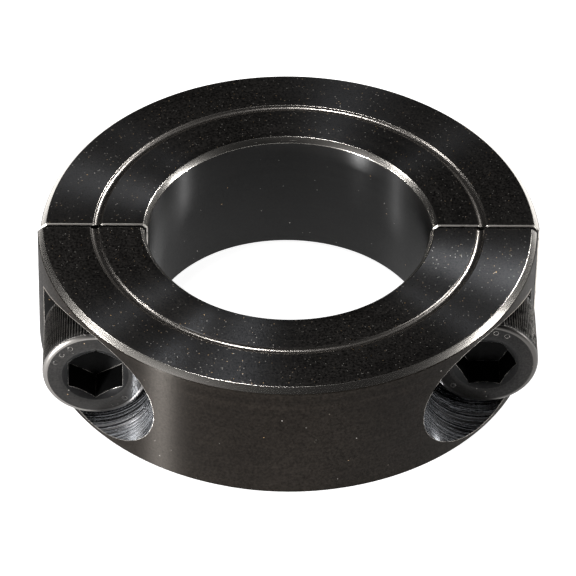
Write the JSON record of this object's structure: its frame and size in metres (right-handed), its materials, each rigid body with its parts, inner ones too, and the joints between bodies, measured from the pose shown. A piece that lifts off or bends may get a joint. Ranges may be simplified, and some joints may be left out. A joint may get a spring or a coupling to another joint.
{
  "type": "shaft collar",
  "caption": "Split clamp-on shaft collar in black-oxide steel: a threaded half and a clearance half drawn together by socket head cap screws.",
  "frame": {"origin": "on the bore axis, in the plane of the lower side face", "axes": "+Z along the bore axis, -Y towards the screw heads, +X to the right seen from the screw heads; the halves meet in the plane y = 0"},
  "size_m": [0.0446, 0.043, 0.0125],
  "materials": {
    "collar_steel": "black oxide over turned steel, bare bright metal on the chamfers and the groove",
    "screw_steel": "black oxide alloy steel, knurled head"
  },
  "bodies": {
    "threaded_half": {"threaded_half": "collar_steel"},
    "clearance_half": {"clearance_half": "collar_steel"},
    "left_cap_screw": {"left_cap_screw": "screw_steel"},
    "right_cap_screw": {"right_cap_screw": "screw_steel"}
  },
  "joints": [
    {"name": "front_half_release", "type": "slide", "parent": "threaded_half", "child": "clearance_half", "axis": [0, -1, 0], "range_m": [0, 0.0078]},
    {"name": "left_screw_turn", "type": "hinge", "parent": "clearance_half", "child": "left_cap_screw", "pos_m": [-0.01702, -0.00645, 0.00625], "axis": [0, -1, 0], "range_deg": [0, 3095]},
    {"name": "right_screw_turn", "type": "hinge", "parent": "clearance_half", "child": "right_cap_screw", "pos_m": [0.01727, -0.00485, 0.00625], "axis": [0, -1, 0], "range_deg": [0, 3095]}
  ],
  "couplings": [
    {"joint": "left_screw_turn", "follows": "front_half_release", "rad_per_m": 6926.3},
    {"joint": "right_screw_turn", "follows": "front_half_release", "rad_per_m": 6926.3}
  ]
}
